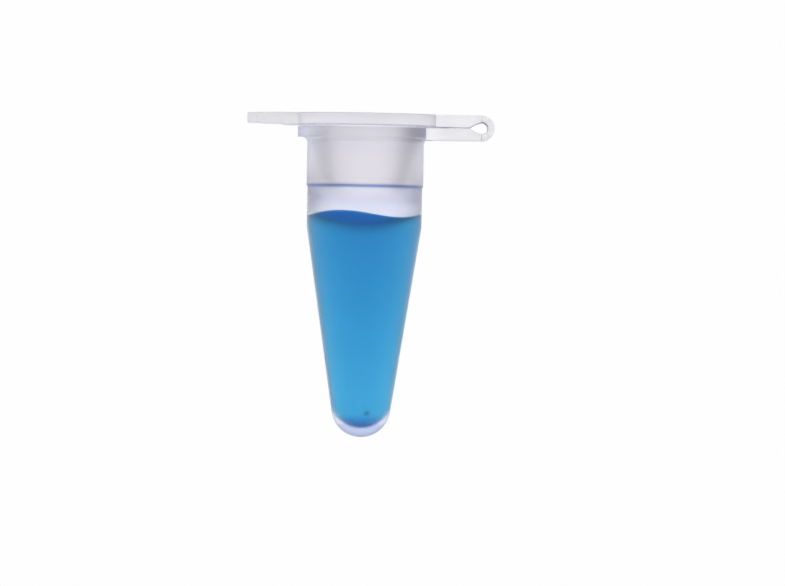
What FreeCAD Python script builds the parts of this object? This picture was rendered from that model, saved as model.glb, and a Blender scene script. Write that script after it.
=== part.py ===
"""A thin-walled microcentrifuge tube with its hinged flat cap closed, and the sample inside it.

The row frame: +Z runs up the tube's axis, +X points from the axis to the hinge, and the origin is on
the axis in the plane of the collar's underside, where the tube hangs in a rack. Millimetres.

The tube, strap and cap of a real one are a single moulding of polypropylene. It is divided here where
its jobs change: the vessel, the collar round its mouth, the cap's disc, plug and thumb tab, the two
stiff hinge arms, and the thin strap between them, which bends. The strap is a chain of short links.
"""
import FreeCAD
import Part
import Sketcher
import math
import os

V = FreeCAD.Vector

# Every driving dimension: name, value in millimetres (degrees for an angle), and what it is.
DIMENSIONS = [
    ("neck_radius", 3.12, "outside of the neck, from the collar to the sealing step"),
    ("barrel_radius", 3.07, "outside of the thin barrel below the step"),
    ("bore_radius", 2.80, "inside of the neck, where the plug seals"),
    ("thin_wall", 0.22, "wall of the barrel and cone, measured across the axis"),
    ("step_depth", 2.58, "from the collar's underside down to the sealing step"),
    ("step_height", 0.06, "height of the small cone that joins neck and barrel"),
    ("mouth_chamfer", 0.10, "lead-in round the mouth"),
    ("cone_angle", 8.65, "half the included angle of the cone"),
    ("tip_radius", 1.585, "outside of the round tip"),
    ("tip_depth", 16.02, "from the collar's underside down to the tip"),
    ("floor_wall", 0.72, "thickness of the tip at the axis"),
    ("collar_radius", 3.64, "outside of the collar"),
    ("collar_top", 0.557, "top of the collar and the mouth"),
    ("collar_round", 0.05, "rounding of the collar's outer edges"),
    ("collar_fillet", 0.30, "fillet between the collar's underside and the neck"),
    ("cap_underside", 0.617, "underside of the closed cap"),
    ("cap_top", 1.273, "top of the closed cap"),
    ("cap_radius", 4.10, "outside of the cap's disc"),
    ("cap_round", 0.08, "rounding of the disc's outer edges"),
    ("tab_root", 4.36, "from the axis to where the tab's underside steps up"),
    ("tab_reach", 6.33, "from the axis to the end of the thumb tab"),
    ("tab_width", 3.90, "width of the thumb tab"),
    ("tab_corner", 0.90, "radius of the thumb tab's corners, seen from above"),
    ("tab_step", 0.04, "how much thinner the tab is beyond its root"),
    ("tab_thin", 0.13, "how much thinner the tab is at its end"),
    ("plug_radius", 2.77, "plug's sealing band"),
    ("plug_band", 0.50, "height of the sealing band"),
    ("plug_tip_radius", 2.28, "outside of the plug at its lower end"),
    ("plug_depth", 2.97, "from the cap's underside down to the end of the plug"),
    ("plug_wall", 0.38, "wall of the hollow plug"),
    ("arm_width", 3.40, "width of the hinge arms and the strap"),
    ("arm_end", 5.51, "from the axis to where the stiff arms part"),
    ("seam_level", 0.587, "middle of the seam between collar and cap"),
    ("loop_centre", 6.19, "from the axis to the middle of the strap's loop"),
    ("loop_radius", 0.495, "radius of the loop at the middle of the strap"),
    ("strap_thickness", 0.36, "thickness of the strap"),
    ("knuckle_gap", 0.02, "clearance between neighbouring links"),
    ("contact_depth", 4.08, "from the collar's underside down to the liquid at the wall"),
    ("meniscus_depth", 4.80, "from the collar's underside down to the middle of the liquid"),
]
LINKS = 3
JOINT_STEP = 180.0 / (LINKS + 1)  # degrees that each pivot of the strap turns

doc = FreeCAD.newDocument("tube")


def make_sheet():
    """The spreadsheet that holds the driving dimensions."""
    made = doc.addObject("Spreadsheet::Sheet", "Sizes")
    for row, (name, size, meaning) in enumerate(DIMENSIONS, start=1):
        made.set(f"A{row}", name)
        made.set(f"B{row}", str(size))
        made.set(f"C{row}", meaning)
        made.setAlias(f"B{row}", name)
    doc.recompute()
    return made


sheet = make_sheet()
NAMES = [name for name, _, _ in DIMENSIONS]


def formula(text):
    """An expression in the document's own words: each dimension's name becomes a cell of the sheet."""
    for name in sorted(NAMES, key=len, reverse=True):
        text = text.replace(f"<{name}>", f"Sizes.{name}")
    return text


def size(text):
    """The number that a formula has now."""
    found = sheet.evalExpression(formula(text))
    return float(getattr(found, "Value", found))


# Formulas that several pieces share. A name in angle brackets is a dimension.
SIN = "sin(<cone_angle> * 1 deg)"
COS = "cos(<cone_angle> * 1 deg)"
TAN = "tan(<cone_angle> * 1 deg)"
TIP_X = f"<tip_radius> * {COS}"
TIP_CENTRE = "(<tip_radius> - <tip_depth>)"
TIP_Z = f"({TIP_CENTRE} - <tip_radius> * {SIN})"
CONE_TOP = f"({TIP_Z} + (<barrel_radius> - {TIP_X}) / {TAN})"
BARREL_BORE = "(<barrel_radius> - <thin_wall>)"
# The inside of the tip is a smaller sphere, raised so that the floor has its thickness at the axis.
RAISED = f"((<floor_wall> - <thin_wall> * {COS}) / (1 - {SIN}))"
HOLLOW_RADIUS = f"(<tip_radius> - <thin_wall> * {COS} + {RAISED} * {SIN})"
HOLLOW_X = f"({HOLLOW_RADIUS} * {COS})"
HOLLOW_Z = f"({TIP_CENTRE} + {RAISED} - {HOLLOW_RADIUS} * {SIN})"
FLOOR = "(<floor_wall> - <tip_depth>)"


class Outline:
    """A closed outline in a sketch, every corner held by a formula."""

    def __init__(self, sketch):
        self.sketch = sketch
        self.count = 0

    def hold(self, kind, geometry, end, text):
        """Binds one coordinate of a point to a formula. A zero goes on the axis."""
        if text == "0":
            axis = -2 if kind == "DistanceX" else -1
            self.sketch.addConstraint(Sketcher.Constraint("PointOnObject", geometry, end, axis))
            return
        held = Sketcher.Constraint(kind, -1, 1, geometry, end, size(text))
        index = self.sketch.addConstraint(held)
        self.count += 1
        name = f"held_{self.count}"
        self.sketch.renameConstraint(index, name)
        self.sketch.setExpression(f"Constraints.{name}", formula(text))

    def draw(self, corners, arcs=None):
        """Joins the corners in order. arcs[i] = (centre x, centre y, anticlockwise, the formula that
        holds the centre: "x" or "y") bends the edge that follows corner i."""
        arcs = arcs or {}
        points = [V(size(x), size(y), 0) for x, y in corners]
        first = self.sketch.GeometryCount
        ends = []
        for i, start in enumerate(points):
            finish = points[(i + 1) % len(points)]
            if i not in arcs:
                self.sketch.addGeometry(Part.LineSegment(start, finish), False)
                ends.append((1, 2))
                continue
            centre_x, centre_y, anticlockwise, _ = arcs[i]
            centre = V(size(centre_x), size(centre_y), 0)
            a, b = start - centre, finish - centre
            if not anticlockwise:
                a, b = b, a
            circle = Part.Circle(centre, V(0, 0, 1), (start - centre).Length)
            turn_a, turn_b = math.atan2(a.y, a.x), math.atan2(b.y, b.x)
            self.sketch.addGeometry(Part.ArcOfCircle(circle, turn_a, turn_b), False)
            ends.append((1, 2) if anticlockwise else (2, 1))
        for i, (x, y) in enumerate(corners):
            before = (i - 1) % len(corners)
            joined = (first + before, ends[before][1], first + i, ends[i][0])
            self.sketch.addConstraint(Sketcher.Constraint("Coincident", *joined))
            self.hold("DistanceX", first + i, ends[i][0], x)
            self.hold("DistanceY", first + i, ends[i][0], y)
        for i, (centre_x, centre_y, _, which) in arcs.items():
            if which == "x":
                self.hold("DistanceX", first + i, 3, centre_x)
            else:
                self.hold("DistanceY", first + i, 3, centre_y)


def new_body(label):
    """An empty body. Its label is the name of its file."""
    body = doc.addObject("PartDesign::Body", label)
    body.Label = label
    body.Placement = FreeCAD.Placement()
    return body


def new_sketch(body, plane, name):
    """An empty sketch on one of the body's own origin planes."""
    sketch = body.newObject("Sketcher::SketchObject", name)
    support = [f for f in body.Origin.OriginFeatures if f.Role == plane][0]
    sketch.AttachmentSupport = [(support, "")]
    sketch.MapMode = "FlatFace"
    return sketch


def turned(label, corners, arcs=None):
    """A body of revolution about the tube's axis, from an outline of (radius, height)."""
    body = new_body(label)
    sketch = new_sketch(body, "XZ_Plane", label + "_outline")
    Outline(sketch).draw(corners, arcs)
    doc.recompute()
    turn = body.newObject("PartDesign::Revolution", label + "_turn")
    turn.Profile = sketch
    turn.ReferenceAxis = (sketch, ["V_Axis"])
    turn.Angle = 360
    body.Tip = turn
    doc.recompute()
    return body


def sideways(label, corners, arcs=None, width="<arm_width>"):
    """A body with the same (x, height) outline across its whole width, centred on the XZ plane."""
    body = new_body(label)
    sketch = new_sketch(body, "XZ_Plane", label + "_outline")
    Outline(sketch).draw(corners, arcs)
    doc.recompute()
    pad = body.newObject("PartDesign::Pad", label + "_pad")
    pad.Profile = sketch
    pad.SideType = "Symmetric"
    pad.setExpression("Length", formula(width))
    body.Tip = pad
    doc.recompute()
    return body


def trim_round(body, radius, low, high):
    """Cuts away what lies within a radius of the tube's axis, so that the end fits a round edge."""
    before = body.Shape.Volume
    sketch = new_sketch(body, "XZ_Plane", body.Label + "_seat")
    Outline(sketch).draw([("0", low), (radius, low), (radius, high), ("0", high)])
    doc.recompute()
    groove = body.newObject("PartDesign::Groove", body.Label + "_trim")
    groove.Profile = sketch
    groove.ReferenceAxis = (sketch, ["V_Axis"])
    groove.Angle = 360
    body.Tip = groove
    doc.recompute()
    if body.Shape.Volume >= before:
        raise RuntimeError(f"{body.Label}: the trim cut nothing")


def make_vessel():
    """The neck, thin barrel, cone and round tip, hollow and open at the top."""
    corners = [
        ("0", "-<tip_depth>"),
        (TIP_X, TIP_Z),
        ("<barrel_radius>", CONE_TOP),
        ("<barrel_radius>", "-<step_depth> - <step_height>"),
        ("<neck_radius>", "-<step_depth>"),
        ("<neck_radius>", "-<collar_fillet>"),
        ("<bore_radius>", "-<collar_fillet>"),
        ("<bore_radius>", "-<step_depth>"),
        (BARREL_BORE, "-<step_depth> - <step_height>"),
        (BARREL_BORE, CONE_TOP),
        (HOLLOW_X, HOLLOW_Z),
        ("0", FLOOR),
    ]
    arcs = {
        0: ("0", TIP_CENTRE, True, "x"),
        10: ("0", f"{TIP_CENTRE} + {RAISED}", False, "x"),
    }
    turned("tube_body", corners, arcs)


def make_collar():
    """The thick ring that is the tube's mouth and hangs it in a rack, with the fillet under it."""
    corners = [
        ("<neck_radius>", "-<collar_fillet>"),
        ("<neck_radius> + <collar_fillet>", "0"),
        ("<collar_radius> - <collar_round>", "0"),
        ("<collar_radius>", "<collar_round>"),
        ("<collar_radius>", "<collar_top> - <collar_round>"),
        ("<collar_radius> - <collar_round>", "<collar_top>"),
        ("<bore_radius> + <mouth_chamfer>", "<collar_top>"),
        ("<bore_radius>", "<collar_top> - <mouth_chamfer>"),
        ("<bore_radius>", "-<collar_fillet>"),
    ]
    arcs = {
        0: ("<neck_radius> + <collar_fillet>", "-<collar_fillet>", False, "x"),
        2: ("<collar_radius> - <collar_round>", "<collar_round>", True, "x"),
        4: ("<collar_radius> - <collar_round>", "<collar_top> - <collar_round>", True, "x"),
    }
    turned("rim_collar", corners, arcs)


def make_liquid():
    """The sample. It fills the cone up to a hollow surface that climbs the wall."""
    sag = "(<meniscus_depth> - <contact_depth>)"
    bend = f"(({BARREL_BORE} * {BARREL_BORE} + {sag} * {sag}) / (2 * {sag}))"
    corners = [
        ("0", FLOOR),
        (HOLLOW_X, HOLLOW_Z),
        (BARREL_BORE, CONE_TOP),
        (BARREL_BORE, "-<contact_depth>"),
        ("0", "-<meniscus_depth>"),
    ]
    arcs = {
        0: ("0", f"{TIP_CENTRE} + {RAISED}", True, "x"),
        3: ("0", f"{bend} - <meniscus_depth>", False, "x"),
    }
    turned("sample_liquid", corners, arcs)


def make_disc():
    """The flat round lid."""
    corners = [
        ("0", "<cap_underside>"),
        ("<cap_radius> - <cap_round>", "<cap_underside>"),
        ("<cap_radius>", "<cap_underside> + <cap_round>"),
        ("<cap_radius>", "<cap_top> - <cap_round>"),
        ("<cap_radius> - <cap_round>", "<cap_top>"),
        ("0", "<cap_top>"),
    ]
    arcs = {
        1: ("<cap_radius> - <cap_round>", "<cap_underside> + <cap_round>", True, "x"),
        3: ("<cap_radius> - <cap_round>", "<cap_top> - <cap_round>", True, "x"),
    }
    turned("cap_disc", corners, arcs)


def make_plug():
    """The hollow plug under the disc: a sealing band, then a taper that lets it swing out of the bore."""
    end = "<cap_underside> - <plug_depth>"
    nose = "<plug_wall> / 2"
    corners = [
        ("<plug_radius> - <plug_wall>", "<cap_underside>"),
        ("<plug_tip_radius> - <plug_wall>", f"{end} + {nose}"),
        ("<plug_tip_radius>", f"{end} + {nose}"),
        ("<plug_radius>", "<cap_underside> - <plug_band>"),
        ("<plug_radius>", "<cap_underside>"),
    ]
    arcs = {1: (f"<plug_tip_radius> - {nose}", f"{end} + {nose}", True, "y")}
    turned("sealing_plug", corners, arcs)


def make_tab():
    """The tongue that a thumb lifts, thinner towards its end. It starts on the disc's edge."""
    body = new_body("thumb_tab")
    sketch = new_sketch(body, "XY_Plane", "thumb_tab_outline")
    half = "<tab_width> / 2"
    corners = [
        ("-<cap_radius> / 2", half),
        ("-<tab_reach> + <tab_corner>", half),
        ("-<tab_reach>", f"{half} - <tab_corner>"),
        ("-<tab_reach>", f"-{half} + <tab_corner>"),
        ("-<tab_reach> + <tab_corner>", f"-{half}"),
        ("-<cap_radius> / 2", f"-{half}"),
    ]
    arcs = {
        1: ("-<tab_reach> + <tab_corner>", f"{half} - <tab_corner>", True, "x"),
        3: ("-<tab_reach> + <tab_corner>", f"-{half} + <tab_corner>", True, "x"),
    }
    Outline(sketch).draw(corners, arcs)
    sketch.AttachmentOffset = FreeCAD.Placement(V(0, 0, size("<cap_underside>")), FreeCAD.Rotation())
    sketch.setExpression("AttachmentOffset.Base.z", formula("<cap_underside>"))
    doc.recompute()
    pad = body.newObject("PartDesign::Pad", "thumb_tab_pad")
    pad.Profile = sketch
    pad.setExpression("Length", formula("<cap_top> - <cap_underside>"))
    body.Tip = pad
    doc.recompute()
    before = body.Shape.Volume
    wedge = new_sketch(body, "XZ_Plane", "thumb_tab_wedge")
    past = "-<tab_reach> - <tab_thin>"
    wedge_corners = [
        ("-<tab_root>", "<cap_underside> + <tab_step>"),
        (past, "<cap_underside> + <tab_thin>"),
        (past, "<cap_underside> - <tab_thin>"),
        ("-<tab_root>", "<cap_underside> - <tab_thin>"),
    ]
    Outline(wedge).draw(wedge_corners)
    doc.recompute()
    pocket = body.newObject("PartDesign::Pocket", "thumb_tab_taper")
    pocket.Profile = wedge
    pocket.SideType = "Symmetric"
    pocket.setExpression("Length", formula("2 * <tab_width>"))
    body.Tip = pocket
    doc.recompute()
    if body.Shape.Volume >= before:
        raise RuntimeError("thumb_tab: the taper cut nothing")
    trim_round(body, "<cap_radius>", "<cap_underside> - <tab_thin>", "<cap_top> + <tab_thin>")


def pivot(number):
    """Formulas for pivot 1 to LINKS + 1 of the strap, counted from the tube round the loop. They are
    the corners of straight runs that touch the loop's middle line, the first and last of them level."""
    turn = -90 + JOINT_STEP * (number - 0.5)
    reach = f"<loop_radius> / cos({JOINT_STEP / 2} * 1 deg)"
    x = f"(<loop_centre> + {reach} * cos({turn} * 1 deg))"
    z = f"(<seam_level> + {reach} * sin({turn} * 1 deg))"
    return x, z


def along(point, turn, forward, left):
    """Formulas for a point reached from another by going forward and left at a heading in degrees."""
    x = f"({point[0]} + ({forward}) * cos({turn} * 1 deg) - ({left}) * sin({turn} * 1 deg))"
    z = f"({point[1]} + ({forward}) * sin({turn} * 1 deg) + ({left}) * cos({turn} * 1 deg))"
    return x, z


HALF = "(<strap_thickness> / 2)"
SOCKET = f"({HALF} + <knuckle_gap>)"  # radius of the hollow that a link's round end turns in
HORN = f"sqrt({SOCKET} * {SOCKET} - {HALF} * {HALF})"


def make_links():
    """The strap's links. Each has a round end at its first pivot and a hollow end at its second."""
    for number in range(1, LINKS + 1):
        heading = JOINT_STEP * number
        first, second = pivot(number), pivot(number + 1)
        corners = [
            along(first, heading, "0", f"-{HALF}"),
            along(second, heading, f"-{HORN}", f"-{HALF}"),
            along(second, heading, f"-{HORN}", HALF),
            along(first, heading, "0", HALF),
        ]
        arcs = {1: (*second, False, "y"), 3: (*first, True, "y")}
        sideways(f"strap_link_{number}", corners, arcs)


def make_collar_arm():
    """The stiff lower half of the hinge, from the collar out to the strap's first pivot."""
    x, z = pivot(1)
    corners = [
        ("<bore_radius>", f"{z} - {HALF}"),
        (f"{x} - {HORN}", f"{z} - {HALF}"),
        (f"{x} - {HORN}", f"{z} + {HALF}"),
        ("<loop_centre>", f"{z} + {HALF}"),
        ("<arm_end>", "<collar_top>"),
        ("<bore_radius>", "<collar_top>"),
    ]
    arcs = {1: (x, z, False, "x")}
    sideways("collar_arm", corners, arcs)
    body = doc.getObject("collar_arm")
    trim_round(body, "<collar_radius>", "-<collar_top>", "<collar_top> + <mouth_chamfer>")


def make_cap_arm():
    """The stiff upper half of the hinge, from the disc out to the strap's last pivot."""
    x, z = pivot(LINKS + 1)
    corners = [
        ("<bore_radius>", "<cap_underside>"),
        ("<arm_end>", "<cap_underside>"),
        ("<loop_centre>", f"{z} - {HALF}"),
        (x, f"{z} - {HALF}"),
        (x, f"{z} + {HALF}"),
        ("<arm_end>", "<cap_top>"),
        ("<bore_radius>", "<cap_top>"),
    ]
    arcs = {3: (x, z, True, "x")}
    sideways("cap_arm", corners, arcs)
    body = doc.getObject("cap_arm")
    trim_round(body, "<cap_radius>", "0", "2 * <cap_top>")


def check_and_export():
    """Stops on any failed object or bad shape, then writes each body's STEP file."""
    doc.recompute()
    for thing in doc.Objects:
        if "Invalid" in thing.State or "Error" in thing.State:
            raise RuntimeError(f"{thing.Name} failed: {thing.State}")
    bodies = [o for o in doc.Objects if o.TypeId == "PartDesign::Body"]
    for body in bodies:
        shape = body.Shape
        if shape.isNull() or not shape.isValid() or len(shape.Solids) != 1:
            raise RuntimeError(f"{body.Label} isn't one sound solid")
    os.makedirs("parts", exist_ok=True)
    for body in bodies:
        body.Shape.exportStep(f"parts/{body.Label}.step")
        box = body.Shape.BoundBox
        print(f"{body.Label}: {body.Shape.Volume:.4f} mm3, z {box.ZMin:.3f} to {box.ZMax:.3f}")


make_vessel()
make_collar()
make_liquid()
make_disc()
make_plug()
make_tab()
make_links()
make_collar_arm()
make_cap_arm()
check_and_export()
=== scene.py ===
# %% [markdown]
# # A thin-walled sample tube with its cap closed
#
# The real tube, strap and cap are one moulding of natural polypropylene, a cloudy clear plastic, and
# the tube holds a blue sample. Light goes through everything, so what a viewer sees is mostly the far
# side, bent and tinted. Hidden inner faces would show as well. So the tube is one closed surface with
# a real wall, and so is the cap with its plug and tab. The hinge's two arms are pieces of their own,
# because they are milkier, and only the strap, which bends, is cut into short pieces.

# %% Load the frame
import math

import bmesh
import bpy
from mathutils import Matrix, Vector


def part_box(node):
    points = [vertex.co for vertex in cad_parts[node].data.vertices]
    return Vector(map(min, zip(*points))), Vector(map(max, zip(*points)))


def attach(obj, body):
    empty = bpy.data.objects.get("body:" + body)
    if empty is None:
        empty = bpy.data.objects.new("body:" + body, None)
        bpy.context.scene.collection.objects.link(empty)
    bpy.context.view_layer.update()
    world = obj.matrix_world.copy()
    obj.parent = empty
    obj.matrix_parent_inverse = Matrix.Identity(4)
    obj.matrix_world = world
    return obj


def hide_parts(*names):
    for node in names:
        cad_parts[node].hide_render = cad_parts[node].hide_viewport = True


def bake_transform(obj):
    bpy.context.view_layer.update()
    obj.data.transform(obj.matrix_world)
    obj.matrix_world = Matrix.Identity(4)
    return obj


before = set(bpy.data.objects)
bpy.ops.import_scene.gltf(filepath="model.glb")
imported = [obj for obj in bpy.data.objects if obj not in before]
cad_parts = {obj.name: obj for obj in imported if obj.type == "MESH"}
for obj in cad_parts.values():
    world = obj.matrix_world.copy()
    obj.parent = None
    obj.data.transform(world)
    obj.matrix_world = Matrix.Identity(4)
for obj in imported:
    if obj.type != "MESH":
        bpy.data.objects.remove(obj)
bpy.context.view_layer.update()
MM = 0.001

# %% [markdown]
# ## Sizes
#
# The design already fixes the outside, so those sizes are read from its nodes. Everything is worked
# out in millimetres, which keeps the numbers readable and well above the smallest distance that
# Blender's tools tell apart, and each finished mesh is scaled to metres once.

# %% Read the sizes
def reach(node, corner, axis):
    """One side of a node's box, in millimetres: corner 0 is its low side and 1 its high side."""
    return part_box(node)[corner][axis] / MM


X, Y, Z = 0, 1, 2
COLLAR_RADIUS = reach("rim_collar", 1, Y)
COLLAR_TOP = reach("rim_collar", 1, Z)
NECK_RADIUS = reach("tube_body", 1, Y)
TIP_Z = reach("tube_body", 0, Z)
CAP_RADIUS = reach("cap_disc", 1, Y)
CAP_UNDERSIDE = reach("cap_disc", 0, Z)
CAP_TOP = reach("cap_disc", 1, Z)
PLUG_RADIUS = reach("sealing_plug", 1, Y)
PLUG_END = reach("sealing_plug", 0, Z)
TAB_END = reach("thumb_tab", 0, X)
TAB_WIDTH = 2 * reach("thumb_tab", 1, Y)
ARM_WIDTH = 2 * reach("cap_arm", 1, Y)
BARREL_BORE = reach("sample_liquid", 1, Y)
FLOOR_Z = reach("sample_liquid", 0, Z)
print(f"tube {COLLAR_TOP - TIP_Z:.2f} mm long, neck {2 * NECK_RADIUS:.2f} mm across")

# %% [markdown]
# ## From an outline to a turned shape
#
# A tube is a turned shape: one outline spun round an axis. Spinning is better than stacking cylinders,
# because wall, fillets and floor come out as one skin. The outline's round stretches are arcs, and its
# ends that lie on the axis close into poles once the doubled points there are merged.

# %% Helpers for turned shapes
AROUND = 144  # steps in a full turn
MERGED = 1e-5  # points closer than this become one
LEVEL = 1e-6  # a difference smaller than this counts as none


def arc(centre, radius, start, end, steps):
    """Points on a round stretch of an outline. The angles are in degrees, from outwards to upwards."""
    points = []
    for step in range(steps + 1):
        angle = math.radians(start + (end - start) * step / steps)
        points.append((centre[0] + radius * math.cos(angle), centre[1] + radius * math.sin(angle)))
    return points


def turned(outline):
    """A bmesh of the outline spun about the upright axis."""
    shape = bmesh.new()
    corners = [shape.verts.new((radius, 0, height)) for radius, height in outline]
    edges = [shape.edges.new(pair) for pair in zip(corners, corners[1:])]
    spun = {"cent": (0, 0, 0), "axis": (0, 0, 1), "angle": math.tau, "steps": AROUND}
    bmesh.ops.spin(shape, geom=corners + edges, use_merge=True, **spun)
    bmesh.ops.remove_doubles(shape, verts=shape.verts, dist=MERGED)
    bmesh.ops.recalc_face_normals(shape, faces=shape.faces)
    return shape


# %% [markdown]
# ## From loose shapes to one skin
#
# The tab grows out of the cap with no seam. In cloudy plastic two shapes pushed into each other would
# show the buried faces, and a Boolean union removes them. A Boolean difference cuts the arms' roots
# round, so that they fit against the collar and the lid. Both are done before the scaling to metres,
# and Weighted Normal then keeps the flat faces looking flat next to their rounded edges.

# %% Helpers for finished pieces
def as_object(name, shape):
    """Puts a bmesh into the scene as an object, in millimetres."""
    mesh = bpy.data.meshes.new(name)
    shape.to_mesh(mesh)
    shape.free()
    made = bpy.data.objects.new(name, mesh)
    bpy.context.scene.collection.objects.link(made)
    return made


def finished(name, shape, grow=None, cut=None, sharp=40):
    """One piece in metres, with a shape joined on or cut away. Edges over `sharp` degrees stay crisp."""
    piece = as_object(name, shape)
    tools = []
    for operation, extra in (("UNION", grow), ("DIFFERENCE", cut)):
        if extra is None:
            continue
        tools.append(as_object(name + "_tool", extra))
        step = piece.modifiers.new("tool", "BOOLEAN")
        step.operation = operation
        step.solver = "EXACT"
        step.object = tools[-1]
    depsgraph = bpy.context.evaluated_depsgraph_get()
    mesh = bpy.data.meshes.new_from_object(piece.evaluated_get(depsgraph))
    piece.modifiers.clear()
    piece.data = mesh
    for tool in tools:
        bpy.data.objects.remove(tool)
    mesh.transform(Matrix.Scale(MM, 4))
    for face in mesh.polygons:
        face.use_smooth = True
    mesh.set_sharp_from_angle(angle=math.radians(sharp))
    mesh.name = name
    even = piece.modifiers.new("even_normals", "WEIGHTED_NORMAL")
    even.keep_sharp = True
    print(f"{name}: {len(mesh.polygons)} faces")
    return piece


# %% [markdown]
# ## The tube
#
# The wall is about 0.3 mm in the neck, where the plug seals, and a little over 0.2 mm below the step.
# It thickens slowly down the cone, and the floor is thicker still, because the plastic enters the
# mould there. One outline runs down the outside and back up the inside, so light meets both skins.

# %% The tube's outline
CONE_ANGLE = 8.65  # degrees from the axis
BARREL_RADIUS = NECK_RADIUS - 0.05
THIN_WALL = BARREL_RADIUS - BARREL_BORE
BORE_RADIUS = PLUG_RADIUS + 0.03
TIP_RADIUS = 1.585
STEP_Z = -2.58
STEP_HEIGHT = 0.06
COLLAR_FILLET = 0.30
EDGE = 0.05
MOUTH_ROUNDING = 0.10
TIP_WALL = 0.27

tip_centre = TIP_Z + TIP_RADIUS
lean = math.radians(CONE_ANGLE)
tip_edge = (TIP_RADIUS * math.cos(lean), tip_centre - TIP_RADIUS * math.sin(lean))
cone_top = tip_edge[1] + (BARREL_RADIUS - tip_edge[0]) / math.tan(lean)
floor_wall = FLOOR_Z - TIP_Z
raised = (floor_wall - TIP_WALL * math.cos(lean)) / (1 - math.sin(lean))
hollow_radius = TIP_RADIUS - TIP_WALL * math.cos(lean) + raised * math.sin(lean)
hollow_centre = tip_centre + raised

outside = arc((0, tip_centre), TIP_RADIUS, -90, -CONE_ANGLE, 24)
outside += [(BARREL_RADIUS, cone_top), (BARREL_RADIUS, STEP_Z - STEP_HEIGHT), (NECK_RADIUS, STEP_Z)]
outside += arc((NECK_RADIUS + COLLAR_FILLET, -COLLAR_FILLET), COLLAR_FILLET, 180, 90, 12)
outside += arc((COLLAR_RADIUS - EDGE, EDGE), EDGE, -90, 0, 5)
outside += arc((COLLAR_RADIUS - EDGE, COLLAR_TOP - EDGE), EDGE, 0, 90, 5)

inside = arc((BORE_RADIUS + MOUTH_ROUNDING, COLLAR_TOP - MOUTH_ROUNDING), MOUTH_ROUNDING, 90, 180, 6)
inside += [(BORE_RADIUS, STEP_Z), (BARREL_BORE, STEP_Z - STEP_HEIGHT), (BARREL_BORE, cone_top)]
inside += arc((0, hollow_centre), hollow_radius, -CONE_ANGLE, -90, 24)
print(f"barrel wall {THIN_WALL:.2f} mm, floor {floor_wall:.2f} mm")

# %% [markdown]
# ## The hinge arms
#
# An arm is a bar whose side view is drawn once and then pulled out across its width. Its long edges
# are rounded by a bevel, as the mould's are. The two arms lie nearly shut against each other and part
# where the strap's loop begins, which leaves the drop-shaped hole. A drum cuts each root round. It
# leaves a gap too fine to see, because two skins in the same place would flicker.

# %% A bar from its side view
def bar(side_view, width, rounding):
    """A bmesh of a side view, as (x, z) corners, pulled out across the width, its edges rounded."""
    shape = bmesh.new()
    corners = [shape.verts.new((x, -width / 2, z)) for x, z in side_view]
    face = shape.faces.new(corners)
    pulled = bmesh.ops.extrude_face_region(shape, geom=[face])
    moved = [part for part in pulled["geom"] if isinstance(part, bmesh.types.BMVert)]
    bmesh.ops.translate(shape, verts=moved, vec=(0, width, 0))
    bmesh.ops.recalc_face_normals(shape, faces=shape.faces)
    ends = [e for e in shape.edges if abs(e.verts[0].co.y - e.verts[1].co.y) < LEVEL]
    round_off = {"affect": "EDGES", "segments": 4, "profile": 0.5, "material": -1}
    bmesh.ops.bevel(shape, geom=ends, offset=rounding, clamp_overlap=True, **round_off)
    return shape


SEAM = (COLLAR_TOP + CAP_UNDERSIDE) / 2
LOOP_X = 6.19
LOOP_RADIUS = 0.495
STRAP = 0.36
ARMS_PART = 5.51
ARM_EDGE = 0.07
SHUT = 0.008  # half the gap where the arms touch
CLOSING = (4.15, 4.75)  # where the arms close in on each other, measured from the axis
HOLE = ((0.16, 0.10), (0.40, 0.235))  # the drop's outline, past the parting and from its middle
SHOULDER = 0.3  # how far either side of the parting the arm slopes from the loop to its own level
CLEAR_OF = 0.004
DRUM_HEIGHT = 8


def arm_side_view(inner, up):
    """The side view of an arm: up is 1 for the cap's and -1 for the collar's."""
    outer = LOOP_RADIUS + STRAP / 2
    level = CAP_TOP - SEAM if up > 0 else outer
    near_gap = CAP_UNDERSIDE - SEAM
    lower = [(inner, near_gap), (CLOSING[0], near_gap), (CLOSING[1], SHUT), (ARMS_PART, SHUT)]
    lower += [(ARMS_PART + along, half) for along, half in HOLE] + [(LOOP_X, LOOP_RADIUS - STRAP / 2)]
    start = outer + 0.3 * (level - outer)
    upper = [(LOOP_X, outer), (ARMS_PART + SHOULDER, start), (ARMS_PART - SHOULDER, level), (inner, level)]
    return [(x, SEAM + up * z) for x, z in lower + upper]


def round_cutter(radius):
    """A plain drum that cuts an arm's root to fit a round edge, a hair clear of it."""
    shape = bmesh.new()
    ends = {"radius1": radius + CLEAR_OF, "radius2": radius + CLEAR_OF}
    bmesh.ops.create_cone(shape, cap_ends=True, depth=DRUM_HEIGHT, segments=AROUND, **ends)
    return shape


tube = finished("tube_moulding", turned(outside + inside))
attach(tube, "tube")
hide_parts("tube_body", "rim_collar")

lower_arm = finished("lower_arm", bar(arm_side_view(NECK_RADIUS, -1), ARM_WIDTH, ARM_EDGE),
                     cut=round_cutter(COLLAR_RADIUS))
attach(lower_arm, "tube")
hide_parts("collar_arm")

# %% [markdown]
# ## The cap
#
# Lid and plug are turned in one outline: a flat disc with a hollow skirt under it. The skirt has a
# short sealing band at its top and then tapers, so that it can swing out of the mouth on the strap.
# The middle of the lid is sunk by a hair, which is where people write on it.

# %% The lid and plug
PLUG_WALL = 0.38
PLUG_BAND = 0.50
PLUG_TIP_RADIUS = 2.28
LID_EDGE = 0.08
SUNK_RADIUS = 3.1
SUNK = 0.03
SUNK_SLOPE = 0.06
SKIRT_FILLET = 0.15

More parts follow.
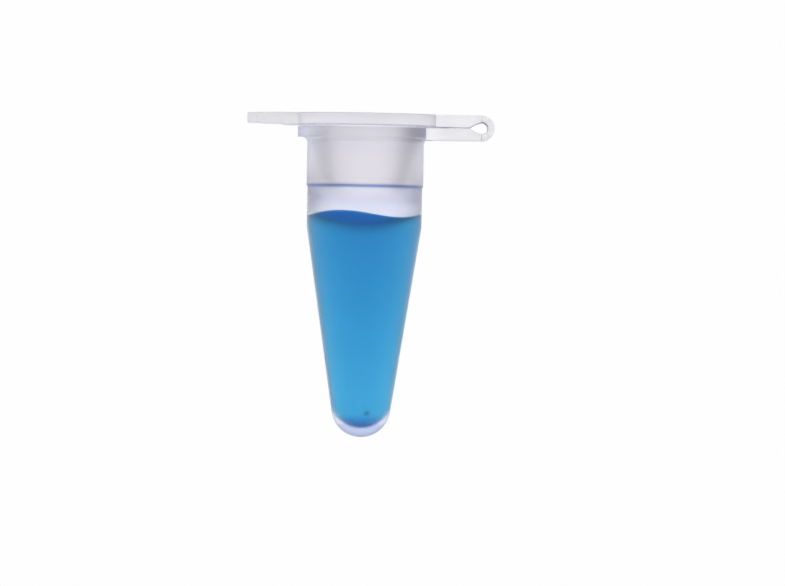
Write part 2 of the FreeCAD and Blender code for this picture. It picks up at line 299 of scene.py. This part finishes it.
nose = PLUG_WALL / 2
lid = [(0, CAP_TOP - SUNK), (SUNK_RADIUS - SUNK_SLOPE, CAP_TOP - SUNK), (SUNK_RADIUS, CAP_TOP)]
lid += arc((CAP_RADIUS - LID_EDGE, CAP_TOP - LID_EDGE), LID_EDGE, 90, 0, 6)
lid += arc((CAP_RADIUS - LID_EDGE, CAP_UNDERSIDE + LID_EDGE), LID_EDGE, 0, -90, 6)
lid += [(PLUG_RADIUS, CAP_UNDERSIDE), (PLUG_RADIUS, CAP_UNDERSIDE - PLUG_BAND)]
lid += arc((PLUG_TIP_RADIUS - nose, PLUG_END + nose), nose, 0, -180, 10)
fillet_centre = (PLUG_RADIUS - PLUG_WALL - SKIRT_FILLET, CAP_UNDERSIDE - SKIRT_FILLET)
lid += arc(fillet_centre, SKIRT_FILLET, 0, 90, 5)
lid += [(0, CAP_UNDERSIDE)]

# %% [markdown]
# ## The thumb tab
#
# The tab is a tongue with round corners, seen from above. Its underside steps up just beyond the disc
# and then rises slowly to the end, so the tab is thinnest where a nail gets under it. The outline is
# made from a rectangle whose two outer corners are bevelled round, then given its thickness.

# %% The tab
TAB_ROOT = 4.36
TAB_CORNER = 0.9
TAB_STEP = 0.04
STEP_LENGTH = 0.05
TAB_RISE = 0.04
TAB_DROOP = 0.05
TAB_EDGE = 0.06
TAB_ROWS = (TAB_ROOT, TAB_ROOT + STEP_LENGTH, 4.9, 5.4, 5.9)  # rows of points that let it bend
INSIDE_RIM = 0.4  # how far outside the sunk middle the tongue's inner end stays
HAIR = 0.004  # keeps the union's faces from lying in one plane


def tab_shape():
    """The tongue, from inside the disc's raised rim to its own end."""
    shape = bmesh.new()
    inner = -(SUNK_RADIUS + INSIDE_RIM)
    half = TAB_WIDTH / 2
    plan = [(inner, half), (TAB_END, half), (TAB_END, -half), (inner, -half)]
    corners = [shape.verts.new((x, y, CAP_UNDERSIDE + HAIR)) for x, y in plan]
    shape.faces.new(corners)
    round_off = {"segments": 8, "profile": 0.5, "material": -1, "clamp_overlap": True}
    bmesh.ops.bevel(shape, geom=corners[1:3], affect="VERTICES", offset=TAB_CORNER, **round_off)
    pulled = bmesh.ops.extrude_face_region(shape, geom=shape.faces[:])
    moved = [part for part in pulled["geom"] if isinstance(part, bmesh.types.BMVert)]
    bmesh.ops.translate(shape, verts=moved, vec=(0, 0, CAP_TOP - CAP_UNDERSIDE - 2 * HAIR))
    bmesh.ops.recalc_face_normals(shape, faces=shape.faces)
    flat = [e for e in shape.edges if abs(e.verts[0].co.z - e.verts[1].co.z) < LEVEL]
    bmesh.ops.bevel(shape, geom=flat, affect="EDGES", offset=TAB_EDGE, **{**round_off, "segments": 3})
    for cut in TAB_ROWS:
        everything = shape.verts[:] + shape.edges[:] + shape.faces[:]
        plane = {"plane_co": (-cut, 0, 0), "plane_no": (1, 0, 0)}
        bmesh.ops.bisect_plane(shape, geom=everything, dist=MERGED, **plane)
    middle = (CAP_TOP + CAP_UNDERSIDE) / 2
    for vert in shape.verts:
        beyond = -vert.co.x - TAB_ROOT
        if beyond <= LEVEL:
            continue
        along = beyond / (-TAB_END - TAB_ROOT)
        if vert.co.z < middle:
            vert.co.z += TAB_STEP * min(1, beyond / STEP_LENGTH) + TAB_RISE * along
        else:
            vert.co.z -= TAB_DROOP * along * along
    return shape


cap = finished("cap_moulding", turned(lid), grow=tab_shape())
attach(cap, "cap")
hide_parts("cap_disc", "sealing_plug", "thumb_tab")

upper_arm = finished("upper_arm", bar(arm_side_view(NECK_RADIUS, 1), ARM_WIDTH, ARM_EDGE),
                     cut=round_cutter(CAP_RADIUS))
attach(upper_arm, "cap")
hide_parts("cap_arm")

# %% [markdown]
# ## The strap
#
# The strap is a living hinge: a thin band that bends along its whole loop. Here it has as many pieces
# as the design has pivots, each a short stretch of the same spun section. A rounded rectangle is spun
# about the loop's own axis, one slice of the half circle for each piece.

# %% The strap's pieces
LINK_NAMES = sorted(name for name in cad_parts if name.startswith("strap_link"))
SLICE_STEPS = 10
STRAP_BODIES = ["tube"] + [f"link_{i + 1}" for i in range(len(LINK_NAMES))] + ["cap"]
SLICE = 180 / (len(STRAP_BODIES) - 1)
loop_centre = Vector((LOOP_X, 0, SEAM))


def strap_slice(number):
    """One slice of the loop as a closed bmesh, counted from the tube's arm."""
    start = math.radians(-90 + SLICE * number)
    turn = math.radians(SLICE)
    shape = bmesh.new()
    made = bmesh.ops.create_grid(shape, x_segments=1, y_segments=1, size=0.5)
    bmesh.ops.scale(shape, verts=made["verts"], vec=(STRAP, ARM_WIDTH, 1))
    round_off = {"affect": "VERTICES", "segments": 4, "profile": 0.5, "material": -1}
    bmesh.ops.bevel(shape, geom=made["verts"], offset=ARM_EDGE, clamp_overlap=True, **round_off)
    bmesh.ops.translate(shape, verts=shape.verts, vec=(LOOP_RADIUS, 0, 0))
    bmesh.ops.rotate(shape, verts=shape.verts, cent=(0, 0, 0), matrix=Matrix.Rotation(-start, 3, "Y"))
    section = shape.faces[:]
    spun = {"cent": (0, 0, 0), "axis": (0, -1, 0), "angle": turn, "steps": SLICE_STEPS}
    bmesh.ops.spin(shape, geom=section, use_duplicate=False, **spun)
    return shape


def make_strap():
    """Makes and places every slice."""
    pieces = []
    for number, (before, after) in enumerate(zip(STRAP_BODIES, STRAP_BODIES[1:])):
        shape = strap_slice(number)
        bmesh.ops.translate(shape, verts=shape.verts, vec=loop_centre)
        bmesh.ops.recalc_face_normals(shape, faces=shape.faces)
        piece = finished(f"strap_{number + 1}", shape)
        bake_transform(piece)
        pieces.append(piece)
    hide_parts(*LINK_NAMES)
    return pieces


strap = make_strap()

# %% [markdown]
# ## The sample
#
# The liquid fills the cone and climbs its wall a little, so its top is hollow. Its edge isn't level:
# it clings in slow waves. The skin of the liquid reaches a few hundredths of a millimetre into the
# plastic, because two skins in the same place would flicker, and a gap would look like trapped air.

# %% The sample's shape
INTO_WALL = 0.02
CONTACT_Z = reach("sample_liquid", 1, Z)
HOLLOW_Z = -5.12
HOLLOWING = 2.4  # the higher, the flatter the middle and the steeper the climb at the wall
WAVES = ((1, 0.033, -68), (2, 0.077, 86), (3, 0.106, 29))  # count round the wall, height, phase in degrees
RINGS = 20  # circles of points over the hollow top
# The painted shade near the floor: how dark it gets, and how far up it reaches.
FLOOR_SHADE = 0.8
FLOOR_SHADE_REACH = 0.45


def surface_height(share):
    """Height of the hollow top at a share of the radius."""
    return HOLLOW_Z + (CONTACT_Z - HOLLOW_Z) * share ** HOLLOWING


def sample_shape():
    """The liquid, closed, with its wavy edge."""
    wet_radius = BARREL_BORE + INTO_WALL
    outline = arc((0, hollow_centre), hollow_radius + INTO_WALL, -90, -CONE_ANGLE, 24)
    outline += [(wet_radius, cone_top), (wet_radius, CONTACT_Z - 0.2), (wet_radius, CONTACT_Z - 0.06)]
    outline += [(wet_radius * k / RINGS, surface_height(k / RINGS)) for k in range(RINGS, -1, -1)]
    shape = turned(outline)
    for vert in shape.verts:
        radius = math.hypot(vert.co.x, vert.co.y)
        if vert.co.z < HOLLOW_Z + 0.005 or radius < 0.01:
            continue
        around = math.atan2(vert.co.y, vert.co.x)
        swell = sum(high * math.cos(count * around - math.radians(phase)) for count, high, phase in WAVES)
        climb = (vert.co.z - HOLLOW_Z) / (CONTACT_Z - HOLLOW_Z)
        vert.co.z += swell * climb
    return shape


def mark_painted_dark_skin(piece):
    """An attribute for painted darkening: 1 over the hollow top, a painted reflection, and growing again
    from nothing towards the floor, a painted shade.
    """
    mark = piece.data.attributes.new("painted_dark_skin", "FLOAT", "POINT")
    for vert in piece.data.vertices:
        radius = math.hypot(vert.co.x, vert.co.y) / MM
        height = vert.co.z / MM
        if height > HOLLOW_Z - 0.05 and radius < BARREL_BORE + INTO_WALL / 2:
            mark.data[vert.index].value = 1
        elif height < FLOOR_Z + FLOOR_SHADE_REACH:
            depth = 1 - (height - FLOOR_Z) / FLOOR_SHADE_REACH
            mark.data[vert.index].value = FLOOR_SHADE * depth ** 0.5


sample = finished("blue_sample", sample_shape(), sharp=60)
mark_painted_dark_skin(sample)
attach(sample, "tube")
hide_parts("sample_liquid")

# %% A grain of dye that hasn't dissolved
GRAIN_RADIUS = 0.13
GRAIN_PLACE = (0.28, -0.45, -14.72)


def dye_grain():
    """A small uneven lump near the floor of the tube."""
    shape = bmesh.new()
    bmesh.ops.create_icosphere(shape, subdivisions=3, radius=GRAIN_RADIUS)
    bmesh.ops.scale(shape, verts=shape.verts, vec=(1.15, 0.9, 0.85))
    for vert in shape.verts:
        vert.co *= 1 + 0.12 * math.sin(38 * vert.co.x + 3) * math.cos(31 * vert.co.z)
    bmesh.ops.translate(shape, verts=shape.verts, vec=GRAIN_PLACE)
    return shape


grain = finished("dye_grain", dye_grain())
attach(grain, "tube")

# %% [markdown]
# ## Natural polypropylene
#
# The plastic lets light through but blurs it, and is faintly grey and violet. The tube and the cap are
# a glass-like shader with a rough surface, which suits a real wall: each skin blurs what is behind it,
# a sheen whitens it where it is seen edge-on, and the absorption inside adds up where light travels
# far, as along the edge of the lid. The arms and the strap are flexed and duller, so they let only
# part of the light through and scatter the rest like a white plastic, most of all at their roots.
#
# The real plastic's refraction is about 1.49. With that value much of the light is trapped in the
# walls, and it is lost when a renderer stops counting bounces, so the walls turn dark. A lower value
# keeps them pale. It is set for the look and isn't the material's own.

# %% Helpers for the nodes
def map_range(nodes, low, high, to_low, to_high):
    """A Map Range node from low..high to to_low..to_high."""
    node = nodes.new("ShaderNodeMapRange")
    for socket, value in (("From Min", low), ("From Max", high), ("To Min", to_low), ("To Max", to_high)):
        node.inputs[socket].default_value = value
    return node


def bands(nodes, links, place, axis, stops):
    """Colours laid in bands along one axis. The stops are (millimetres, colour), from low to high."""
    split = nodes.new("ShaderNodeSeparateXYZ")
    links.new(place.outputs["Object"], split.inputs["Vector"])
    low, high = stops[0][0], stops[-1][0]
    along = map_range(nodes, low * MM, high * MM, 0, 1)
    links.new(split.outputs[axis], along.inputs["Value"])
    ramp = nodes.new("ShaderNodeValToRGB")
    elements = ramp.color_ramp.elements
    while len(elements) < len(stops):
        elements.new(0.5)
    for element, (height, colour) in zip(elements, stops):
        element.position = (height - low) / (high - low)
        element.color = (*colour, 1)
    links.new(along.outputs["Result"], ramp.inputs["Fac"])
    return ramp.outputs["Color"]


def grey_bands(nodes, links, place, banding):
    """The same for plain numbers: the banding is (axis, stops)."""
    axis, stops = banding
    greys = [(where, (value, value, value)) for where, value in stops]
    return bands(nodes, links, place, axis, greys)


# %% A cloudy clear plastic
CLOUD_SCALE = 420  # soft clouds, a few millimetres across
FINE_SCALE = 5200  # the fine grain of the mould's surface
SHEEN_TINT = (0.80, 0.80, 1.0)


def natural_plastic(name, tints, blurs, depth_colour, density, grain, clears=None, ior=1.33):
    """Polypropylene as moulded. tints, blurs and clears are bands along an axis; grain is in mm."""
    material = bpy.data.materials.new(name)
    material.use_nodes = True
    nodes, links = material.node_tree.nodes, material.node_tree.links
    shader = nodes["Principled BSDF"]
    shader.inputs["IOR"].default_value = ior
    shader.inputs["Transmission Weight"].default_value = 1
    shader.inputs["Sheen Weight"].default_value = 1.0
    shader.inputs["Sheen Roughness"].default_value = 0.2
    shader.inputs["Sheen Tint"].default_value = (*SHEEN_TINT, 1)
    place = nodes.new("ShaderNodeTexCoord")
    if clears:
        links.new(grey_bands(nodes, links, place, clears), shader.inputs["Transmission Weight"])

    cloud = nodes.new("ShaderNodeTexNoise")
    cloud.inputs["Scale"].default_value = CLOUD_SCALE
    cloud.inputs["Detail"].default_value = 3
    links.new(place.outputs["Object"], cloud.inputs["Vector"])
    shade = map_range(nodes, 0.3, 0.7, 0.97, 1.0)
    links.new(cloud.outputs["Fac"], shade.inputs["Value"])
    axis, stops = tints
    both = nodes.new("ShaderNodeVectorMath")
    both.operation = "MULTIPLY"
    links.new(shade.outputs["Result"], both.inputs[0])
    links.new(bands(nodes, links, place, axis, stops), both.inputs[1])
    links.new(both.outputs["Vector"], shader.inputs["Base Color"])

    uneven = map_range(nodes, 0.3, 0.7, 0.92, 1.08)
    links.new(cloud.outputs["Fac"], uneven.inputs["Value"])
    rough = nodes.new("ShaderNodeVectorMath")
    rough.operation = "SCALE"
    links.new(grey_bands(nodes, links, place, blurs), rough.inputs["Vector"])
    links.new(uneven.outputs["Result"], rough.inputs["Scale"])
    links.new(rough.outputs["Vector"], shader.inputs["Roughness"])

    fine = nodes.new("ShaderNodeTexNoise")
    fine.inputs["Scale"].default_value = FINE_SCALE
    fine.inputs["Detail"].default_value = 4
    links.new(place.outputs["Object"], fine.inputs["Vector"])
    bump = nodes.new("ShaderNodeBump")
    bump.inputs["Distance"].default_value = grain * MM
    bump.inputs["Strength"].default_value = 1
    links.new(fine.outputs["Fac"], bump.inputs["Height"])
    links.new(bump.outputs["Normal"], shader.inputs["Normal"])

    inside = nodes.new("ShaderNodeVolumeAbsorption")
    inside.inputs["Color"].default_value = (*depth_colour, 1)
    inside.inputs["Density"].default_value = density / MM
    links.new(inside.outputs["Volume"], nodes["Material Output"].inputs["Volume"])
    return material


# %% [markdown]
# ## Bands on the plastic
#
# The neck is a little greyer than the barrel, because its wall is thicker and the plug stands behind
# it. The plug's sealing band would show faintly through the wall. This wall blurs it away, so a change
# of tone stands in for it, and the barest hint of a line for the plug's end. The step below the neck
# is a fine ring, with a painted highlight above it for the light it catches and a painted shade on it
# for the light it loses below, and the solid floor is bluer than the barrel. On the lid, the tab is
# duller than the disc, so that a thumb holds it, and the side towards the hinge is darker.

# %% Colours and finishes
# Plain untinted white, used as the painted highlight just above the step's ring.
RING_PAINTED_HIGHLIGHT = (1.0, 1.0, 1.0)
FLOOR_TINT = (0.40, 0.49, 0.75)
TIP_TINT = (0.93, 0.95, 0.98)
BARREL = (0.97, 0.975, 1.0)
ABOVE_SAMPLE = (0.84, 0.85, 0.91)
PLUG_BAND_END = -0.80
UNDER_PLUG = (0.97, 0.97, 0.995)
PLUG_LINE = (0.937, 0.923, 0.939)
BESIDE_PLUG = (0.955, 0.945, 0.95)
BESIDE_BAND = (0.93, 0.93, 0.96)
COLLAR = (0.965, 0.96, 0.96)
# A painted shade on the step's ring.
RING_PAINTED_SHADE = (0.25, 0.33, 0.64)
up_the_tube = [(TIP_Z, FLOOR_TINT), (FLOOR_Z - 0.1, FLOOR_TINT), (FLOOR_Z + 0.1, TIP_TINT),
               (FLOOR_Z + 1.0, TIP_TINT), (FLOOR_Z + 1.7, BARREL),
               (CONTACT_Z - 0.3, BARREL), (CONTACT_Z + 0.1, ABOVE_SAMPLE),
               (STEP_Z - 0.13, ABOVE_SAMPLE), (STEP_Z - 0.06, RING_PAINTED_SHADE), (STEP_Z + 0.05, RING_PAINTED_SHADE),
               (STEP_Z + 0.11, RING_PAINTED_HIGHLIGHT), (STEP_Z + 0.25, RING_PAINTED_HIGHLIGHT), (STEP_Z + 0.33, UNDER_PLUG),
               (PLUG_END + 0.125, PLUG_LINE), (PLUG_END + 0.14, BESIDE_PLUG),
               (PLUG_BAND_END - 0.13, BESIDE_PLUG), (PLUG_BAND_END, BESIDE_BAND),
               (-0.05, BESIDE_BAND), (0.05, COLLAR), (COLLAR_TOP, COLLAR)]
DULL = (0.79, 0.79, 0.79)
HINGE_SIDE = (0.76, 0.755, 0.77)
STRAP_TINT = (0.945, 0.94, 0.965)
DISC = (0.985, 0.975, 0.985)
along_the_lid = [(TAB_END, DULL), (-3.9, DULL), (-3.3, DISC), (3.3, DISC), (3.9, HINGE_SIDE)]
along_the_strap = [(COLLAR_RADIUS, STRAP_TINT), (LOOP_X, STRAP_TINT)]
tube_blurs = ("Z", [(TIP_Z, 0.33), (CONTACT_Z - 0.5, 0.33), (CONTACT_Z + 0.3, 0.38), (STEP_Z, 0.46),
                    (COLLAR_TOP, 0.46)])
lid_blurs = ("X", [(TAB_END, 0.45), (-3.9, 0.45), (-3.3, 0.34), (CAP_RADIUS, 0.34)])
arm_clears = ("X", [(COLLAR_RADIUS - 0.1, 0.05), (COLLAR_RADIUS + 0.7, 0.4), (LOOP_X, 0.4)])
strap_blurs = ("X", [(COLLAR_RADIUS, 0.42), (LOOP_X, 0.36)])

DEEP_VIOLET = (0.40, 0.44, 0.80)
DEEP_GREY = (0.5, 0.5, 0.58)
tube_plastic = natural_plastic("tube_plastic", ("Z", up_the_tube), tube_blurs,
                               DEEP_VIOLET, 0.12, grain=0.0002, ior=1.25)
cap_plastic = natural_plastic("cap_plastic", ("X", along_the_lid), lid_blurs,
                              DEEP_GREY, 0.08, grain=0.0004)
strap_plastic = natural_plastic("strap_plastic", ("X", along_the_strap), strap_blurs,
                                DEEP_GREY, 0.04, grain=0.0004, clears=arm_clears)
tube.data.materials.append(tube_plastic)
cap.data.materials.append(cap_plastic)
for piece in (lower_arm, upper_arm, *strap):
    piece.data.materials.append(strap_plastic)

# %% [markdown]
# ## The blue sample
#
# A dyed liquid takes its colour from depth: the wide top of the cone is deeper blue than the narrow
# tip. Volume absorption does exactly that. The hollow top acts as a mirror from below and shows the
# deepest blue, so the shape's own attribute marks it, and there the skin's colour and the tint of its
# reflections are painted darker, a painted reflection. The skin close to the floor is painted darker
# too, a painted shade. The refraction is below water's 1.33, for the same reason as the plastic's.

# %% Dyed water
LIQUID_BENDS = 1.18


def dyed_water(name, tints, mirrors, depth_colour, density):
    """A clear liquid. tints and mirrors are pairs: the plain skin's colour and the marked skin's, which is
    painted darker as painted reflection and painted shade.
    """
    material = bpy.data.materials.new(name)
    material.use_nodes = True
    nodes, links = material.node_tree.nodes, material.node_tree.links
    shader = nodes["Principled BSDF"]
    shader.inputs["Roughness"].default_value = 0.02
    shader.inputs["IOR"].default_value = LIQUID_BENDS
    shader.inputs["Transmission Weight"].default_value = 0.93
    hollow = nodes.new("ShaderNodeAttribute")
    hollow.attribute_name = "painted_dark_skin"
    for socket, (plain, marked) in (("Base Color", tints), ("Specular Tint", mirrors)):
        mix = nodes.new("ShaderNodeMix")
        mix.data_type = "RGBA"
        colours = [s for s in mix.inputs if s.type == "RGBA"]
        colours[0].default_value = (*plain, 1)
        colours[1].default_value = (*marked, 1)
        links.new(hollow.outputs["Fac"], mix.inputs["Factor"])
        links.new([s for s in mix.outputs if s.type == "RGBA"][0], shader.inputs[socket])
    inside = nodes.new("ShaderNodeVolumeAbsorption")
    inside.inputs["Color"].default_value = (*depth_colour, 1)
    inside.inputs["Density"].default_value = density / MM
    links.new(inside.outputs["Volume"], nodes["Material Output"].inputs["Volume"])
    return material


# The second colour of each pair is painted darkening on the marked skin: a painted reflection over the
# hollow top, a painted shade near the floor.
BLUE_SKINS = ((0.14, 0.66, 0.90), (0.03, 0.20, 0.62))
BLUE_MIRRORS = ((0.1, 0.5, 0.9), (0.04, 0.32, 0.72))
BLUE_DEPTH = (0.10, 0.60, 0.79)
blue = dyed_water("blue_sample", BLUE_SKINS, BLUE_MIRRORS, BLUE_DEPTH, 0.5)
sample.data.materials.append(blue)


def dye_lump(name, colour):
    """The grain's soft, slightly mottled tint, darker than the liquid. Light still gets through it."""
    material = bpy.data.materials.new(name)
    material.use_nodes = True
    nodes, links = material.node_tree.nodes, material.node_tree.links
    shader = nodes["Principled BSDF"]
    shader.inputs["Roughness"].default_value = 0.5
    shader.inputs["IOR"].default_value = LIQUID_BENDS
    shader.inputs["Transmission Weight"].default_value = 0.9
    place = nodes.new("ShaderNodeTexCoord")
    mottle = nodes.new("ShaderNodeTexNoise")
    mottle.inputs["Scale"].default_value = 16000
    links.new(place.outputs["Object"], mottle.inputs["Vector"])
    ramp = nodes.new("ShaderNodeValToRGB")
    ramp.color_ramp.elements[0].color = (*[c * 0.8 for c in colour], 1)
    ramp.color_ramp.elements[1].color = (*colour, 1)
    links.new(mottle.outputs["Fac"], ramp.inputs["Fac"])
    links.new(ramp.outputs["Color"], shader.inputs["Base Color"])
    return material


grain.data.materials.append(dye_lump("dye_grain", (0.60, 0.66, 0.74)))

# %% [markdown]
# ## The studio
#
# Clear things are lit by what is behind them. The room is a plain white world. The light it gives is a
# little stronger than the white that is seen directly, and strongest from behind, which keeps the
# plastic pale and draws its walls as soft grey lines. A pale floor lies well below, because the tube
# hangs free.

# %% The world
SEEN = 0.99  # the white that the camera sees
GIVEN = (1.05, 1.2)  # the light from the camera's side, and from behind the tube


def studio_world():
    """White to look at, with a soft fall-off in the light that it gives."""
    world = bpy.data.worlds.new("studio")
    bpy.context.scene.world = world
    world.use_nodes = True
    nodes, links = world.node_tree.nodes, world.node_tree.links
    nodes.clear()
    place = nodes.new("ShaderNodeTexCoord")
    split = nodes.new("ShaderNodeSeparateXYZ")
    links.new(place.outputs["Generated"], split.inputs["Vector"])
    fall = map_range(nodes, -0.4, 0.9, *GIVEN)
    fall.interpolation_type = "SMOOTHSTEP"
    links.new(split.outputs["Y"], fall.inputs["Value"])
    light = nodes.new("ShaderNodeBackground")
    light.inputs["Color"].default_value = (1, 1, 1, 1)
    links.new(fall.outputs["Result"], light.inputs["Strength"])
    seen = nodes.new("ShaderNodeBackground")
    seen.inputs["Color"].default_value = (1, 1, 1, 1)
    seen.inputs["Strength"].default_value = SEEN
    ray = nodes.new("ShaderNodeLightPath")
    choose = nodes.new("ShaderNodeMixShader")
    links.new(ray.outputs["Is Camera Ray"], choose.inputs["Fac"])
    links.new(light.outputs["Background"], choose.inputs[1])
    links.new(seen.outputs["Background"], choose.inputs[2])
    output = nodes.new("ShaderNodeOutputWorld")
    links.new(choose.outputs["Shader"], output.inputs["Surface"])


studio_world()

# %% The floor
FLOOR_DROP = 22  # millimetres below the tip
FLOOR_RADIUS = 300


def pale_floor():
    """A plain pale disc under the tube."""
    shape = bmesh.new()
    bmesh.ops.create_circle(shape, cap_ends=True, segments=96, radius=FLOOR_RADIUS)
    bmesh.ops.translate(shape, verts=shape.verts, vec=(0, 0, TIP_Z - FLOOR_DROP))
    made = as_object("floor", shape)
    made.data.transform(Matrix.Scale(MM, 4))
    material = bpy.data.materials.new("pale_floor")
    material.use_nodes = True
    shader = material.node_tree.nodes["Principled BSDF"]
    shader.inputs["Base Color"].default_value = (0.93, 0.93, 0.93, 1)
    shader.inputs["Roughness"].default_value = 0.8
    made.data.materials.append(material)


pale_floor()

# %% The lights
AIM = Vector((0, 0, -6))  # the middle of the tube


def softbox(name, place, size, power):
    """A square area light, aimed at the middle of the tube. Place and size are in millimetres."""
    lamp = bpy.data.lights.new(name, "AREA")
    lamp.size = size * MM
    lamp.energy = power
    made = bpy.data.objects.new(name, lamp)
    made.location = Vector(place) * MM
    beam = AIM * MM - made.location
    made.rotation_euler = beam.to_track_quat("-Z", "Y").to_euler()
    made.visible_camera = False
    bpy.context.scene.collection.objects.link(made)


softbox("key_left", (-180, -200, 160), 120, 0.06)
softbox("fill_right", (220, -160, 60), 160, 0.04)

# %% [markdown]
# ## The camera
#
# A long lens from far away keeps the lid a thin band and the sides straight. The camera is level with
# the middle of the tube and rolled by about a degree, so the lid slopes down very slightly to the
# right. The Standard view transform keeps white as white.

# %% Place the camera
VIEW_WIDTH = 42.0  # millimetres across the picture
VIEW_CENTRE = Vector((1.585, 0, -8.28))
ROLL = math.radians(-1.05)
SENSOR_WIDTH = 36
LENS = 400

camera = bpy.data.objects.new("camera", bpy.data.cameras.new("camera"))
camera.data.sensor_width = SENSOR_WIDTH
camera.data.lens = LENS
distance = VIEW_WIDTH * LENS / SENSOR_WIDTH
aimed = Matrix.Rotation(ROLL, 4, "Y") @ Matrix.Rotation(math.radians(90), 4, "X")
camera.matrix_world = Matrix.Translation((VIEW_CENTRE - Vector((0, distance, 0))) * MM) @ aimed
camera.data.clip_end = 10
bpy.context.scene.collection.objects.link(camera)
bpy.context.scene.camera = camera
bpy.context.scene.view_settings.view_transform = "Standard"
print(f"camera {distance:.0f} mm from the tube's axis")
